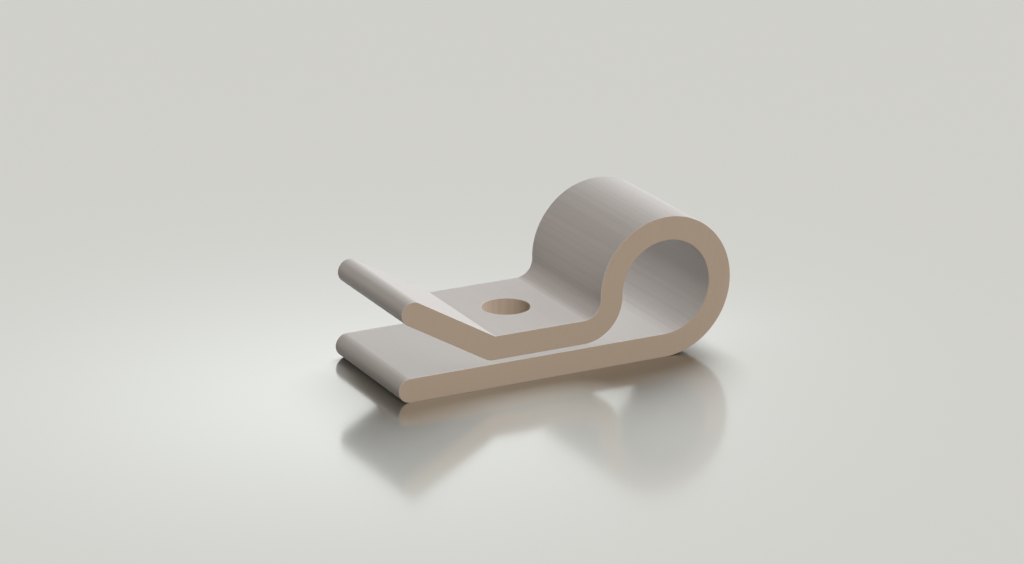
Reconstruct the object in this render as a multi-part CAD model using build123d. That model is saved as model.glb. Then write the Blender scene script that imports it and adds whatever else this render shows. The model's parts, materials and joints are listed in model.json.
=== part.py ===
# Cable clip: one springy strip of plastic with an even wall, wrapped round a cable and screwed down through
# both of its legs.
#
# The base leg lies flat on the surface. It runs straight into the loop, which goes round the cable and comes
# back down on the near side. A tight reverse bend, the neck, turns the strip into the top leg, which lies just
# above the base leg. The screw passes through both legs and pulls the top one down, so that the loop grips.
# Past the screw the top leg bends upwards into a flared tip, which leads the clip on and gives a finger a hold.
#
# All of this is one constant section, cut square at both sides. It is drawn as the middle line of the strip,
# and the wall is then laid half on each side of that line. That gives each tip its full round. At the flare it
# leaves a sharp crease on the upper face, with the wall carried round evenly below it.
#
# Frame: millimetres, +Z up from the surface. The origin is where the screw's axis meets the base face. +X runs
# along the strip, from the screw towards the cable, and the cable lies along Y.

from build123d import *
from math import asin, cos, degrees, radians, tan
import os

# The strip.
wall = 2.0  # thickness of the strip, the same all along it
width = 12.0  # along the cable, from one cut side to the other

# What the clip holds, and what holds the clip.
cable_diameter = 8.0  # the loop's bore
screw_hole_diameter = 4.0  # the same in both legs

# The legs.
leg_gap = 0.32  # between the two legs before the screw is driven home
seat_length = 8.0  # flat of the top leg for the screw's head, from neck to crease, with the hole midway
base_overhang = 12.5  # of the base leg past the screw's axis, to its very tip

# The bends.
neck_inside_radius = 1.5  # on the hollow side of the reverse bend
flare_angle = 30.0  # of the flared tip, up from the base
flare_length = 9.0  # from its bend to its very tip, along the slope

# Heights and radii of the strip's middle line.
half_wall = wall / 2
base_leg_height = half_wall
top_leg_height = wall + leg_gap + half_wall
loop_radius = cable_diameter / 2 + half_wall
loop_height = base_leg_height + loop_radius
neck_radius = neck_inside_radius + half_wall
neck_height = top_leg_height + neck_radius

# The loop and the neck bend opposite ways and touch where they meet, so their centres are as far apart as their
# radii together. The neck lies a little lower than the loop, which runs past its side by the lean.
centre_distance = loop_radius + neck_radius
neck_lean = asin((loop_height - neck_height) / centre_distance)

# Distances along X from the screw's axis. The middle line bends half a wall below the crease, a little past it.
screw_to_cable = seat_length / 2 + centre_distance * cos(neck_lean)
screw_to_bend = seat_length / 2 + half_wall * tan(radians(flare_angle / 2))


def middle_line():
    """The line along the middle of the strip, from the base leg's tip to the flared tip."""
    loop_turn = 270 + degrees(neck_lean)
    neck_turn = 90 + degrees(neck_lean)
    base_leg = Line((half_wall - base_overhang, base_leg_height), (screw_to_cable, base_leg_height))
    loop = JernArc(start=base_leg @ 1, tangent=base_leg % 1, radius=loop_radius, arc_size=loop_turn)
    neck = JernArc(start=loop @ 1, tangent=loop % 1, radius=neck_radius, arc_size=-neck_turn)
    top_leg = Line(neck @ 1, (-screw_to_bend, top_leg_height))
    flare = PolarLine(start=top_leg @ 1, length=flare_length - half_wall, angle=180 - flare_angle)
    return base_leg + loop + neck + top_leg + flare


def strip():
    """The whole clip without its screw hole: the wall laid on both sides of the middle line, then made wide."""
    section = make_face(offset(middle_line(), amount=half_wall, side=Side.BOTH))
    return extrude(Plane.XZ * section, amount=width / 2, both=True)


def screw_hole():
    """The drill's path, straight down through both legs, with as much above and below them as the wall."""
    legs_height = top_leg_height + half_wall
    return Pos(0, 0, -wall) * Cylinder(
        radius=screw_hole_diameter / 2,
        height=legs_height + 2 * wall,
        align=(Align.CENTER, Align.CENTER, Align.MIN),
    )


cable_clip = strip() - screw_hole()

os.makedirs("parts", exist_ok=True)
export_step(cable_clip, "parts/cable_clip.step")
print("screw to cable", round(screw_to_cable, 4), "cable height", round(loop_height, 4))
print("cable_clip", "solids", len(cable_clip.solids()), "volume", round(cable_clip.volume, 2), "mm3")
print("box", cable_clip.bounding_box())
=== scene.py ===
# %% [markdown]
# # A cable clip in Blender
# This lesson dresses one small plastic clip. A loop holds a cable, a screw goes down through the two flat
# legs, and a flared tip lifts the top leg. On the real object all of that is one strip of plastic with an
# even wall, so here it is one closed mesh too, with no separate pieces.
#
# The CAD model is loaded first. It is the fixed frame: it says how large the clip is and where everything
# goes.

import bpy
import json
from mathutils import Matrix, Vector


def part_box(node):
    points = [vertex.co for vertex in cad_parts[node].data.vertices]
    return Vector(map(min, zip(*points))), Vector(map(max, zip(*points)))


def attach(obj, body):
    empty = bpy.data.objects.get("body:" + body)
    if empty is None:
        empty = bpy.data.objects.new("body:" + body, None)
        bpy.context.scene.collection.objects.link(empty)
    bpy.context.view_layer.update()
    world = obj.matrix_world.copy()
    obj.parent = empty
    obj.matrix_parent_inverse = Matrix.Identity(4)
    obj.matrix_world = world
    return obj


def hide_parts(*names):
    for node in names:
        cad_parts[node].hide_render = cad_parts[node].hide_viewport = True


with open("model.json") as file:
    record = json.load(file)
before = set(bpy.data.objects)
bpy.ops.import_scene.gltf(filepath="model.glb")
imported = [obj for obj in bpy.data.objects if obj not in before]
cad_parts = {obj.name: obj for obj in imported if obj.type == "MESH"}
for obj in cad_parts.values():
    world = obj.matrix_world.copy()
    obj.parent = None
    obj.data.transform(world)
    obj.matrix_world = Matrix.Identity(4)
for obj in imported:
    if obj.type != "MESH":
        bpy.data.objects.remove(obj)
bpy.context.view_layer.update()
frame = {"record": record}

# %% [markdown]
# ## The sizes of the strip
# Most of them can be read from the frame. The mounts give the loop's bore and axis, the screw hole's
# radius and the height of the two legs together. The box gives the width, and the wall is what the bore
# leaves of the height. Four more sizes, of the bends and the flat between them, are stated as the CAD
# model states them.

# %% Read the sizes from the frame
import bmesh
import bpy
import json
from math import atan2, cos, degrees, pi, radians, sin, tan
from mathutils import Vector

MM = 0.001

mounts = {mount["name"]: mount for mount in frame["record"]["mounts"]}
screw_hole_radius = mounts["screw_hole"]["dims"]["r_mm"] * MM
legs_height = mounts["screw_hole"]["dims"]["length_mm"] * MM
cable_radius = mounts["cable_loop"]["dims"]["r_mm"] * MM
loop_axis = Vector(mounts["cable_loop"]["pos_m"])


def to_hundredths(length):
    """A length in metres, rounded to a hundredth of a millimetre."""
    return round(length / MM, 2) * MM


low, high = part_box("cable_clip")
tip_x = to_hundredths(low[0])
width = to_hundredths(high[1] - low[1])
wall = to_hundredths((high[2] - low[2]) / 2 - cable_radius)

seat_length = 8.0 * MM  # flat of the top leg under the screw's head, with the hole midway
neck_inside_radius = 1.5 * MM
flare_angle = radians(30)
flare_length = 9.0 * MM  # from the bend to the very tip, along the slope
print("wall", round(wall / MM, 3), "width", round(width / MM, 3), "bore radius", round(cable_radius / MM, 3))

# %% [markdown]
# ## Where the strip turns
# The strip is followed along the middle of its wall, so each turn has one radius, half a wall more than
# the hollow side. The loop and the neck bend opposite ways and touch where they meet. The neck's axis is
# a little lower than the loop's, so both turns go on past the quarter by the same small lean.

# %% Work out the turns
half_wall = wall / 2
top_leg_height = legs_height - half_wall
neck_axis = Vector((seat_length / 2, 0, top_leg_height + neck_inside_radius + half_wall))
lean = atan2(loop_axis.z - neck_axis.z, loop_axis.x - neck_axis.x)
loop_turn = radians(270) + lean
neck_turn = radians(90) + lean

mitre = half_wall * tan(flare_angle / 2)
bend = Vector((-seat_length / 2 - mitre, 0, top_leg_height))
slope = Vector((-cos(flare_angle), 0, sin(flare_angle)))
print("lean in degrees", round(degrees(lean), 3), "bend at", [round(value / MM, 3) for value in bend])

# %% [markdown]
# ## Helpers for modelling
# An operator acts on whatever is selected, so each step says first what that is. These helpers find faces
# and edges by the place of their middle, as a pointer would by eye, and select nothing else.

# %% Helpers: select by place, and check a mesh
same_place = 0.01 * MM  # two places nearer than this count as one


def centre_of(part):
    """The middle of an edge or a face."""
    return sum((vert.co for vert in part.verts), Vector()) / len(part.verts)


def select_at(piece, mode, *places):
    """In edit mode, selects the faces or edges whose middle is at one of the places."""
    bpy.ops.mesh.select_mode(type=mode)
    bpy.ops.mesh.select_all(action="DESELECT")
    mesh = bmesh.from_edit_mesh(piece.data)
    parts = mesh.faces if mode == "FACE" else mesh.edges
    for part in parts:
        if any((centre_of(part) - place).length < same_place for place in places):
            part.select_set(True)
    bmesh.update_edit_mesh(piece.data)


def check_closed(piece):
    """Prints the size of a mesh, and how many of its edges don't have two faces."""
    mesh = bmesh.new()
    mesh.from_mesh(piece.data)
    open_edges = sum(1 for edge in mesh.edges if len(edge.link_faces) != 2)
    volume = mesh.calc_volume(signed=True) / MM**3
    print(piece.name, "faces", len(mesh.faces), "open edges", open_edges, "volume", round(volume, 2), "mm3")
    mesh.free()


# %% [markdown]
# ## The base leg
# The flat leg that lies on the wall or the desk. It could be drawn as a curve with a thickness, but then
# its ends and bends are hard to finish. A box at its real size is easier to shape, because each further
# stretch of the strip grows out of its end face.

# %% Add the base leg
base_leg_end = Vector((loop_axis.x, 0, half_wall))

bpy.ops.object.select_all(action="DESELECT")
bpy.ops.mesh.primitive_cube_add(
    size=1,
    location=((tip_x + base_leg_end.x) / 2, 0, half_wall),
    scale=(base_leg_end.x - tip_x, width, wall),
)
strip = bpy.context.object
strip.name = "clip_strip"
bpy.ops.object.transform_apply(location=True, rotation=True, scale=True)
check_closed(strip)

# %% [markdown]
# ## The loop and the neck
# Spin carries the selected face round an axis and leaves a wall behind it. The loop goes round the cable,
# up the far side and back down. The neck then bends the strip the other way, level with the base again. A
# step every 3 degrees keeps each curve within a few thousandths of a millimetre of its true round.

# %% Spin the loop, then the neck
step_angle = radians(3)


def spin_face(piece, face_at, axis_at, turn, upwards):
    """Carries one face of a piece round an axis across the strip."""
    select_at(piece, "FACE", face_at)
    bpy.ops.mesh.spin(
        steps=round(turn / step_angle),
        angle=turn,
        center=axis_at,
        axis=(0, 1 if upwards else -1, 0),
    )


loop_radius = cable_radius + half_wall
neck_radius = neck_inside_radius + half_wall
towards_neck = Vector((-cos(lean), 0, -sin(lean)))
loop_end = loop_axis + towards_neck * loop_radius
neck_end = neck_axis - Vector((0, 0, neck_radius))

bpy.ops.object.mode_set(mode="EDIT")
spin_face(strip, base_leg_end, loop_axis, loop_turn, upwards=True)
spin_face(strip, loop_end, neck_axis, neck_turn, upwards=False)
bpy.ops.object.mode_set(mode="OBJECT")
check_closed(strip)

# %% [markdown]
# ## The top leg and the flare
# The end face is drawn straight out to the bend. There it is mitred: its upper edge stays a little behind
# and its lower edge goes a little ahead, each by the half wall times the tangent of half the bend. The
# wall then keeps its thickness when the face is drawn on up the slope. At the tip the face is made square
# again.

# %% Extrude the top leg and the flare
def extrude_face(piece, face_at, move):
    """Draws one face of a piece out along a move."""
    select_at(piece, "FACE", face_at)
    bpy.ops.mesh.extrude_region_move(TRANSFORM_OT_translate={"value": move})


def slide_edge(piece, edge_at, move):
    """Moves one edge of a piece."""
    select_at(piece, "EDGE", edge_at)
    bpy.ops.transform.translate(value=move)


up = Vector((0, 0, half_wall))
level = Vector((-1, 0, 0))
slope_up = Vector((sin(flare_angle), 0, cos(flare_angle))) * half_wall
flare_end = bend + slope * flare_length

bpy.ops.object.mode_set(mode="EDIT")
extrude_face(strip, neck_end, bend - neck_end)
slide_edge(strip, bend + up, -level * mitre)
slide_edge(strip, bend - up, level * mitre)

extrude_face(strip, bend, slope * flare_length)
mitred_edge = up - level * mitre
slide_edge(strip, flare_end + mitred_edge, slope_up - mitred_edge)
slide_edge(strip, flare_end - mitred_edge, mitred_edge - slope_up)
bpy.ops.object.mode_set(mode="OBJECT")
check_closed(strip)

# %% [markdown]
# ## The round tips and the bend's outside
# Both tips are full rounds, so the two edges of each end are bevelled by half the wall and meet in the
# middle. Merge by distance then closes the line where they meet. The outside of the flare's bend is round
# as well, by the wall laid evenly round the inside crease, and a small bevel with a few segments makes
# it.

# %% Round the tips and the bend
tip_segments = 16
bend_segments = 8
merge_distance = 0.001 * MM
base_tip = Vector((tip_x, 0, half_wall))


def bevel_edges(piece, offset, segments, *edges_at):
    """Rounds some edges of a piece."""
    select_at(piece, "EDGE", *edges_at)
    bpy.ops.mesh.bevel(offset=offset, segments=segments, profile=0.5, affect="EDGES", clamp_overlap=False)


bpy.ops.object.mode_set(mode="EDIT")
bevel_edges(strip, mitre, bend_segments, bend - mitred_edge)
tip_edges = (base_tip + up, base_tip - up, flare_end + slope_up, flare_end - slope_up)
bevel_edges(strip, half_wall, tip_segments, *tip_edges)
bpy.ops.mesh.select_all(action="SELECT")
bpy.ops.mesh.remove_doubles(threshold=merge_distance)
bpy.ops.mesh.normals_make_consistent(inside=False)
bpy.ops.object.mode_set(mode="OBJECT")
check_closed(strip)

# %% [markdown]
# ## The screw hole
# It is drilled through both legs at once, so the two holes line up. A cylinder stands in for the drill,
# and a Boolean modifier takes it away from the strip. The cylinder is deleted once the modifier is
# applied.

# %% Drill the screw hole
hole_sides = 96

bpy.ops.object.select_all(action="DESELECT")
bpy.ops.mesh.primitive_cylinder_add(
    vertices=hole_sides,
    radius=screw_hole_radius,
    depth=2 * legs_height,
    location=(0, 0, legs_height / 2),
)
drill = bpy.context.object
bpy.ops.object.transform_apply(location=True, rotation=True, scale=True)


def apply_modifier(piece, kind, **settings):
    """Adds a modifier to a piece, sets it and applies it."""
    bpy.ops.object.select_all(action="DESELECT")
    piece.select_set(True)
    bpy.context.view_layer.objects.active = piece
    bpy.ops.object.modifier_add(type=kind)
    modifier = piece.modifiers[-1]
    for setting, value in settings.items():
        setattr(modifier, setting, value)
    bpy.ops.object.modifier_apply(modifier=modifier.name)


apply_modifier(strip, "BOOLEAN", operation="DIFFERENCE", object=drill, solver="EXACT")
bpy.data.objects.remove(drill)
check_closed(strip)

# %% [markdown]
# ## Three finishes on one mesh
# The real strip is drawn through a die in one long length, and all that the die touched has the same grey
# skin. It is then sawn into clips, and each clip is drilled and reamed. The plastic is the same grey all
# through; the tan of the sawn sides and the drilled wall is painted light, the warm light from the front
# painted as their colour. The finishes could be three objects, but then the mesh would come apart at
# every edge. Three materials on one mesh keep it whole, and each face is given its own by the way it
# faces and by its place.

# %% Give each face its finish
square_enough = 0.9  # a face looks along an axis when this much of its normal lies along it
hole_reach = 1.01 * screw_hole_radius  # just past the wall of the hole


def is_sawn(face):
    """Whether a face is on one of the two sides, square across the strip."""
    return abs(face.normal.y) > square_enough


def is_drilled(face):
    """Whether a face belongs to the screw hole's wall, and not to a flat that the hole goes through."""
    from_screw = face.calc_center_median().xy.length
    return from_screw < hole_reach and abs(face.normal.z) < square_enough


def give_finish(piece, finish_name, belongs):
    """Adds a material to a piece, and gives it to the faces that belong."""
    piece.data.materials.append(bpy.data.materials.new(finish_name))
    piece.active_material_index = len(piece.data.materials) - 1
    bpy.ops.object.mode_set(mode="EDIT")
    bpy.ops.mesh.select_mode(type="FACE")
    bpy.ops.mesh.select_all(action="DESELECT")
    mesh = bmesh.from_edit_mesh(piece.data)
    chosen = [face for face in mesh.faces if belongs(face)]
    for face in chosen:
        face.select_set(True)
    bmesh.update_edit_mesh(piece.data)
    bpy.ops.object.material_slot_assign()
    bpy.ops.object.mode_set(mode="OBJECT")
    print(finish_name, "on", len(chosen), "faces")


give_finish(strip, "grey_skin", lambda face: True)
give_finish(strip, "sawn_side", is_sawn)
give_finish(strip, "drilled_wall", is_drilled)

# %% [markdown]
# ## Broken edges and shading
# A sawn edge is sharp, but a tumble with the other clips takes off the last few hundredths of a
# millimetre. A bevel does that along every edge of about 90 degrees, and leaves the flare's crease alone.
# Smooth shading by angle hides the steps of the curves. Weighted normals let the flat faces keep their
# own normals.

# %% Break the edges and shade the curves smooth
edge_break = 0.04 * MM
cut_edge_angle = radians(40)  # the crease, at 30 degrees, stays below it
curve_step_angle = radians(10)  # no two steps of a curve meet at more than this
flat_faces_first = 80  # above 50, the large faces count for more than the small ones

apply_modifier(
    strip,
    "BEVEL",
    limit_method="ANGLE",
    angle_limit=cut_edge_angle,
    width=edge_break,
    segments=3,
)
bpy.ops.object.shade_smooth_by_angle(angle=curve_step_angle)
apply_modifier(strip, "WEIGHTED_NORMAL", keep_sharp=True, weight=flat_faces_first)
check_closed(strip)

# %% [markdown]
# ## Where the strip is bent
# The lines that the die leaves are faint on the flats and clearer on the bends, where the plastic drags
# on the die's curves. The skin's material has to know which is which. Painting the mesh by hand would do,
# but a skin face on a bend is easy to tell by its area: it is a narrow step of the curve, right across
# the strip. A flat is much wider, and the faces of a broken edge are far narrower. Each face keeps its
# mark in an attribute.

# %% Mark the bends
widest_step = 0.5 * MM
narrowest_step = 0.05 * MM
skin_slot = strip.data.materials.find("grey_skin")

bend_marks = strip.data.attributes.new(name="on_a_bend", type="FLOAT", domain="FACE")
marked_area = 0.0
for face, mark in zip(strip.data.polygons, bend_marks.data):
    if face.material_index == skin_slot and narrowest_step * width < face.area < widest_step * width:
        mark.value = 1.0
        marked_area += face.area
marked_faces = round(sum(mark.value for mark in bend_marks.data))
print("faces on a bend", marked_faces, "which cover", round(marked_area / MM**2, 1), "mm2")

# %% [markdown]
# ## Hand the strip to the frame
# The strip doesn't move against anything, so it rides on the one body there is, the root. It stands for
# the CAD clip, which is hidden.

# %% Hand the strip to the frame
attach(strip, "root")
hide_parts("cable_clip")
print(strip.name, "rides on root and has the finishes", [slot.name for slot in strip.material_slots])

# %% [markdown]
# ## Helpers for materials
# A material here is a small tree of nodes. The first helper adds one node, sets it and links what feeds
# it. The second does one step of arithmetic with nodes. The third starts a finish of the strip. All three
# finishes are the same plastic with the same weak gloss, and differ in colour, roughness and bumps.

# %% Helpers: a node, a step of arithmetic and the start of a finish
weak_gloss = 0.08  # the plastic mirrors far less than a polished one, at 0.5, would


def add_node(tree, kind, inputs=None, **settings):
    """Adds a node. Each input is given a plain value, or the output that feeds it."""
    node = tree.nodes.new(kind)
    for setting, value in settings.items():
        setattr(node, setting, value)
    for socket, value in (inputs or {}).items():
        if isinstance(value, bpy.types.NodeSocket):
            tree.links.new(value, node.inputs[socket])
        else:
            node.inputs[socket].default_value = value
    return node


def add_maths(tree, operation, *values, **settings):
    """The result of one step of arithmetic. Each value is a plain one or an output."""
    step = add_node(tree, "ShaderNodeMath", dict(enumerate(values)), operation=operation, **settings)
    return step.outputs[0]


def start_finish(finish_name):
    """The tree and the shader of one of the strip's finishes, ready for its own nodes."""
    material = bpy.data.materials[finish_name]
    material.use_nodes = True
    shader = material.node_tree.nodes["Principled BSDF"]
    shader.inputs["Specular IOR Level"].default_value = weak_gloss
    return material.node_tree, shader


# %% [markdown]
# ## Grains and lines
# All the small marks on the plastic come from grains: noise read at the piece's own place, in metres, so
# it stays put when the piece or the camera moves. Grains stretched along one axis turn into lines. They
# can steer a colour, a roughness or a bump, so each of these has a helper.

# %% Helpers: grains, mixed colours and bumps
low_grain, middle_grain, high_grain = 0.3, 0.5, 0.7  # nearly all of the noise is from low to high


def add_grains(tree, size, detail=1.0, tilt=0.0):
    """Noise with grains of this size along X, Y and Z, tilted about Y."""
    place = add_node(tree, "ShaderNodeTexCoord").outputs["Object"]
    turned = add_node(
        tree,
        "ShaderNodeMapping",
        {"Vector": place, "Scale": size, "Rotation": (0, tilt, 0)},
        vector_type="TEXTURE",
    )
    noise_inputs = {"Vector": turned.outputs[0], "Scale": 1.0, "Detail": detail}
    return add_node(tree, "ShaderNodeTexNoise", noise_inputs).outputs["Fac"]


def spread_out(tree, grains, lowest, highest):
    """The same grains, but from lowest to highest."""
    was = {"Value": grains, "From Min": low_grain, "From Max": high_grain}
    becomes = {"To Min": lowest, "To Max": highest}
    return add_node(tree, "ShaderNodeMapRange", was | becomes, clamp=False).outputs["Result"]


def mix_colours(tree, factor, first, second):
    """A mix of two colours, which may each be a plain colour or an output."""
    sockets = {0: factor, 6: first, 7: second}
    return add_node(tree, "ShaderNodeMix", sockets, data_type="RGBA").outputs[2]


def add_bump(tree, height, depth, below=None):
    """A bump this deep, over any bump that is below it."""
    inputs = {"Height": height, "Distance": depth, "Strength": 1.0}
    if below:
        inputs["Normal"] = below
    return add_node(tree, "ShaderNodeBump", inputs).outputs["Normal"]


# %% [markdown]
# ## The grey skin
# The skin is satin, and so even that it nearly looks painted. Close up it isn't: the die leaves very fine
# lines along the cable's direction, a little pinker or greener than their neighbours. The plastic also
# clouds slightly as it cools. An image could carry this, but nodes give lines of a real size that run
# true round every bend. The lines are a quarter of a millimetre wide and far longer than the clip.

# %% Skin: die lines, clouding and a fine grain
tree, shader = start_finish("grey_skin")
skin_dark = (0.474, 0.458, 0.430, 1)
skin_light = (0.530, 0.498, 0.480, 1)
skin_cloud = (0.60, 0.59, 0.57, 1)
cloud_share = (0.0, 0.05)
skin_roughness = (0.46, 0.54)
lines_on_flats, lines_on_bends = 1.0, 2.8

die_lines = add_grains(tree, size=(0.25 * MM, 90 * MM, 0.25 * MM), detail=2.0)
clouding = add_grains(tree, size=(2.6 * MM, 3.4 * MM, 2.6 * MM))
fine_grain = add_grains(tree, size=(0.07 * MM, 0.07 * MM, 0.07 * MM))

bend_mark = add_node(tree, "ShaderNodeAttribute", attribute_name="on_a_bend").outputs["Fac"]
by_bend = {"Value": bend_mark, "To Min": lines_on_flats, "To Max": lines_on_bends}
line_strength = add_node(tree, "ShaderNodeMapRange", by_bend).outputs["Result"]
either_way = add_maths(tree, "SUBTRACT", die_lines, middle_grain)
lines = add_maths(tree, "MULTIPLY_ADD", either_way, line_strength, middle_grain, use_clamp=True)

lined = mix_colours(tree, lines, skin_dark, skin_light)
clouded = mix_colours(tree, spread_out(tree, clouding, *cloud_share), lined, skin_cloud)
tree.links.new(clouded, shader.inputs["Base Color"])
tree.links.new(spread_out(tree, clouding, *skin_roughness), shader.inputs["Roughness"])

lines_bump = add_bump(tree, lines, depth=0.003 * MM)
skin_bump = add_bump(tree, fine_grain, depth=0.0006 * MM, below=lines_bump)
tree.links.new(skin_bump, shader.inputs["Normal"])
print("grey_skin nodes", len(tree.nodes))

# %% [markdown]
# ## The sawn sides
# A fine saw leaves the sides flat and matt. Its marks are shallow lines, nearly upright, because the
# strip was fed past the blade. The sides' tan is painted light: the warm light from the front, painted as
# their colour, while the plastic itself is the skin's grey. The tan has a slight speckle. Both marks are
# kept faint, because from a hand's distance the side looks like one even tan.

# %% Sawn sides: saw marks and speckle
tree, shader = start_finish("sawn_side")
saw_tilt = radians(14)
# painted light: these tans stand in for the warm light from the front on the grey plastic
painted_tan_dark = (0.338, 0.260, 0.193, 1)
painted_tan_light = (0.371, 0.287, 0.214, 1)
painted_tan_speck = (0.44, 0.35, 0.27, 1)
speck_share = (0.0, 0.04)
sawn_roughness = (0.56, 0.66)

saw_marks = add_grains(tree, size=(0.16 * MM, 3 * MM, 24 * MM), detail=2.0, tilt=saw_tilt)
speckle = add_grains(tree, size=(0.09 * MM, 0.09 * MM, 0.09 * MM))

marked = mix_colours(tree, saw_marks, painted_tan_dark, painted_tan_light)
speckled = mix_colours(tree, spread_out(tree, speckle, *speck_share), marked, painted_tan_speck)
tree.links.new(speckled, shader.inputs["Base Color"])
tree.links.new(spread_out(tree, saw_marks, *sawn_roughness), shader.inputs["Roughness"])

saw_bump = add_bump(tree, saw_marks, depth=0.004 * MM)
side_bump = add_bump(tree, speckle, depth=0.0008 * MM, below=saw_bump)
tree.links.new(side_bump, shader.inputs["Normal"])
print("sawn_side nodes", len(tree.nodes))

# %% [markdown]
# ## The drilled wall
# A reamer brings the drilled hole to its size. Its straight blades rub as they cut, so the wall is
# smoother than a sawn side, and they leave faint upright lines as the reamer is drawn out. The wall's tan,
# a little greyer than the sides', is painted light as theirs is: the warm light from the front, painted
# as its colour. These grains are a quarter of a millimetre wide round the hole, and far longer than it is
# deep.

# %% Drilled wall: the reamer's lines
tree, shader = start_finish("drilled_wall")
# painted light: the wall's tans stand in for the warm light from the front on the grey plastic
painted_wall_tan_dark = (0.311, 0.250, 0.194, 1)
painted_wall_tan_light = (0.376, 0.305, 0.238, 1)
light_share = (0.2, 0.8)
wall_roughness = (0.44, 0.54)

reamer_lines = add_grains(tree, size=(0.25 * MM, 0.25 * MM, 30 * MM), detail=2.0)
rubbing = add_grains(tree, size=(0.9 * MM, 0.9 * MM, 0.5 * MM))

reamed = mix_colours(tree, spread_out(tree, reamer_lines, *light_share), painted_wall_tan_dark, painted_wall_tan_light)
tree.links.new(reamed, shader.inputs["Base Color"])
tree.links.new(spread_out(tree, rubbing, *wall_roughness), shader.inputs["Roughness"])
tree.links.new(add_bump(tree, reamer_lines, depth=0.003 * MM), shader.inputs["Normal"])
print("drilled_wall nodes", len(tree.nodes))

# %% [markdown]
# ## The floor
# The clip lies on a smooth pale board. A plane is enough for that. It is very wide for so small a clip,
# because it has to reach the horizon in any view.

# %% Lay the board
board_width = 4.0  # metres

bpy.ops.object.select_all(action="DESELECT")
bpy.ops.mesh.primitive_plane_add(size=board_width, location=(0, 0, 0))
floor = bpy.context.object
floor.name = "floor"
print(floor.name, "is", [round(side, 2) for side in floor.dimensions[:2]], "m")

# %% [markdown]
# ## The pool of light
# Light pools on the board round the clip and fades further off. The pool could be a spot lamp, but that
# would light the clip as well. Here the board's own colour makes it: paler near the middle of the pool,
# greyer far away. The pool is worked out from the squared distance to its middle, so it fades evenly and
# has no rim.

# %% Board: the pool
far_colour = (0.632, 0.628, 0.596, 1)
near_colour = (0.801, 0.818, 0.786, 1)
pool_centre = (-14.3 * MM, -1.9 * MM, 0)
pool_radius = 42.0 * MM
pool_fade = -3.2

board = bpy.data.materials.new("pale_board")
floor.data.materials.append(board)
board.use_nodes = True
tree = board.node_tree
tree.nodes.clear()

place = add_node(tree, "ShaderNodeTexCoord").outputs["Object"]
from_centre = add_node(
    tree,
    "ShaderNodeMapping",
    {"Vector": place, "Location": pool_centre, "Scale": (pool_radius, pool_radius, pool_radius)},
    vector_type="TEXTURE",
).outputs[0]
twice = {0: from_centre, 1: from_centre}
squared = add_node(tree, "ShaderNodeVectorMath", twice, operation="DOT_PRODUCT").outputs["Value"]
one_more = add_maths(tree, "ADD", squared, 1.0)
pool = add_maths(tree, "POWER", one_more, pool_fade)
board_colour = mix_colours(tree, pool, far_colour, near_colour)
print("pool radius in mm", round(pool_radius / MM, 1), "nodes so far", len(tree.nodes))

# %% [markdown]
# ## The board's polish
# The board mirrors the clip softly, most of all in the pool. A diffuse shader and a glossy one of the
# same colour are mixed for that. Round the clip the glossy one mirrors only the studio's white wall, so
# the board keeps its colour whatever the mix. Only rays that see the board, or see it mirrored, get this
# shader. Light that the board would throw back up on the clip is kept dim, as in a dark studio.

# %% Board: polish, and what it throws back
polish_far, polish_near = 0.12, 0.74
well_in_pool = 0.867  # where the pool is at least this strong, the board is as polished as it gets
board_roughness = 0.13
thrown_back = (0.18, 0.18, 0.18, 1)

matt = add_node(tree, "ShaderNodeBsdfDiffuse", {"Color": board_colour})
glossy = add_node(tree, "ShaderNodeBsdfGlossy", {"Color": board_colour, "Roughness": board_roughness})
by_pool = {"Value": pool, "From Max": well_in_pool, "To Min": polish_far, "To Max": polish_near}
polish = add_node(tree, "ShaderNodeMapRange", by_pool).outputs["Result"]
polished = add_node(tree, "ShaderNodeMixShader", {0: polish, 1: matt.outputs[0], 2: glossy.outputs[0]})


def seen_by(tree):
    """Is 1 for the rays of the camera, of a mirror and of glass, and 0 for the rest."""
    path = add_node(tree, "ShaderNodeLightPath").outputs
    direct_or_mirrored = add_maths(tree, "MAXIMUM", path["Is Camera Ray"], path["Is Glossy Ray"])
    return add_maths(tree, "MAXIMUM", direct_or_mirrored, path["Is Transmission Ray"])


dim = add_node(tree, "ShaderNodeBsdfDiffuse", {"Color": thrown_back})
dim_or_polished = {0: seen_by(tree), 1: dim.outputs[0], 2: polished.outputs[0]}
shown = add_node(tree, "ShaderNodeMixShader", dim_or_polished)
add_node(tree, "ShaderNodeOutputMaterial", {"Surface": shown.outputs[0]})
print("pale_board nodes", len(tree.nodes))

# %% [markdown]
# ## The camera
# The picture shows the clip from the left of its sawn side and a little above, through a long lens, so
# that lines along the cable stay almost parallel. The camera is placed by its angle, its distance and the
# point that it looks at, which is how a photographer would walk round the clip.

# %% Camera
def towards(azimuth, elevation):
    """The direction to something, by degrees round from the front towards +X and degrees up."""
    turn = radians(azimuth)
    rise = radians(elevation)
    return Vector((sin(turn) * cos(rise), -cos(turn) * cos(rise), sin(rise)))


looked_at = Vector((-2.5186, -6.0, 8.6427)) * MM
camera_distance = 290.944 * MM
to_camera = towards(-27.155, 18.9797)
lens_length, film_width = 129.3332, 36.0  # millimetres, as lenses are named
nearest_seen, farthest_seen = 0.01, 10  # metres

bpy.ops.object.camera_add(location=looked_at + to_camera * camera_distance)
camera = bpy.context.object
camera.rotation_mode = "QUATERNION"
camera.rotation_quaternion = (-to_camera).to_track_quat("-Z", "Y")
camera.data.lens = lens_length
camera.data.sensor_width = film_width
camera.data.clip_start = nearest_seen
camera.data.clip_end = farthest_seen
bpy.context.scene.camera = camera
print("camera at", [round(value / MM, 1) for value in camera.location])

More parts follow.
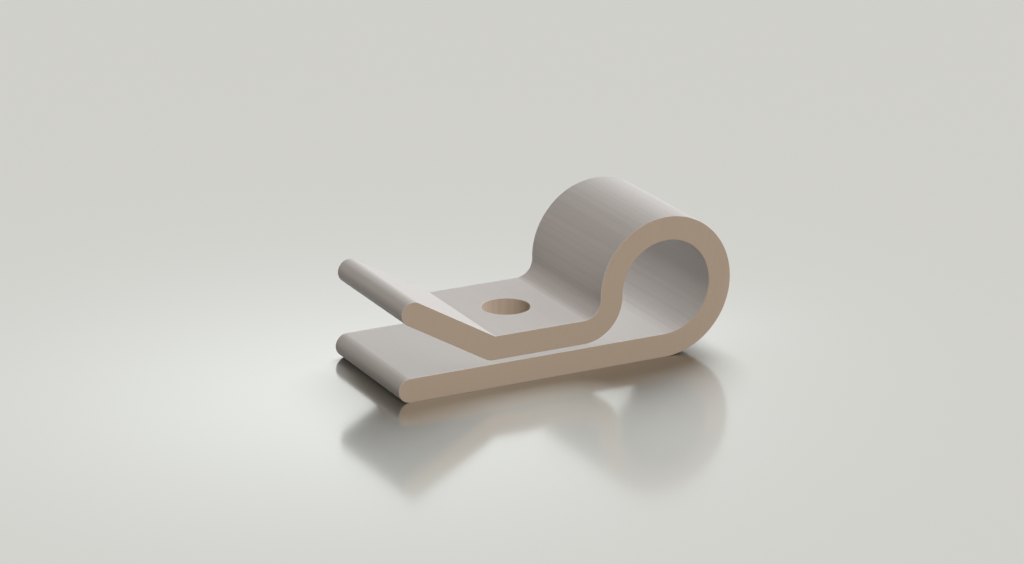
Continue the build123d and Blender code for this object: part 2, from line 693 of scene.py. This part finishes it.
# %% [markdown]
# ## The lamps
# The clip is lit as on a bright table: a large cool panel at the right, light from above, from the front
# and from the back, and a little from the left. Suns stand in for the panels, because each then lights
# every place alike, and a wide angle makes it as soft as a panel. Most of them give no shadow of their
# own, as light from all round leaves none. Light linking gives the clip and the board lamps of their own,
# so each can be set by itself. All of them together give a face that looks up about the brightness 1, so
# its colour renders about as written.

# %% Lamps
def add_panel(name, direction, strength, spread, lights, tint=(1, 1, 1), shadow=False):
    """A large soft panel. Strength 1 shows a face turned straight towards it at its own colour."""
    bpy.ops.object.light_add(type="SUN", rotation=direction.to_track_quat("Z", "Y").to_euler())
    panel = bpy.context.object
    panel.name = name
    panel.data.energy = strength * pi
    panel.data.angle = radians(spread)
    panel.data.color = tint
    panel.data.use_shadow = shadow
    panel.light_linking.receiver_collection = lights
    return panel


clip_only = bpy.data.collections.new("clip_only")
clip_only.objects.link(strip)
floor_only = bpy.data.collections.new("floor_only")
floor_only.objects.link(floor)

cool = (0.948, 1.000, 1.052)
board_tint = (0.964, 1.004, 1.032)

add_panel("key_panel", towards(90, 26), strength=1.12, spread=60, lights=clip_only, tint=cool)
add_panel("top_panel", towards(0, 90), strength=0.35, spread=6, lights=clip_only)
add_panel("front_panel", towards(-2, 0), strength=0.68, spread=6, lights=clip_only)
add_panel("left_panel", towards(-90, 15), strength=0.162, spread=60, lights=clip_only, shadow=True)
add_panel("back_panel", towards(180, 0), strength=0.64, spread=6, lights=clip_only)
board_panel = add_panel(
    "board_panel",
    towards(140, 50),
    strength=1.225,
    spread=40,
    lights=floor_only,
    tint=board_tint,
    shadow=True,
)
board_panel.visible_glossy = False

# %% [markdown]
# ## The studio round it
# The world fills in what the panels leave dark, only a little. The camera sees it as a far wall of the
# board's own colour, so the board has no visible end. The gloss of the board and of the clip mirrors it as
# a white wall.

# %% World
fill = (0.096, 0.059, 0.032, 1)
white_wall = (1, 1, 1, 1)

world = bpy.data.worlds.new("studio")
bpy.context.scene.world = world
world.use_nodes = True
tree = world.node_tree
path = add_node(tree, "ShaderNodeLightPath").outputs
mirrored = mix_colours(tree, path["Is Glossy Ray"], fill, white_wall)
through_glass = mix_colours(tree, path["Is Transmission Ray"], mirrored, far_colour)
seen = mix_colours(tree, path["Is Camera Ray"], through_glass, far_colour)
tree.links.new(seen, tree.nodes["Background"].inputs["Color"])
bpy.context.scene.view_settings.view_transform = "Standard"
print("world nodes", len(tree.nodes))
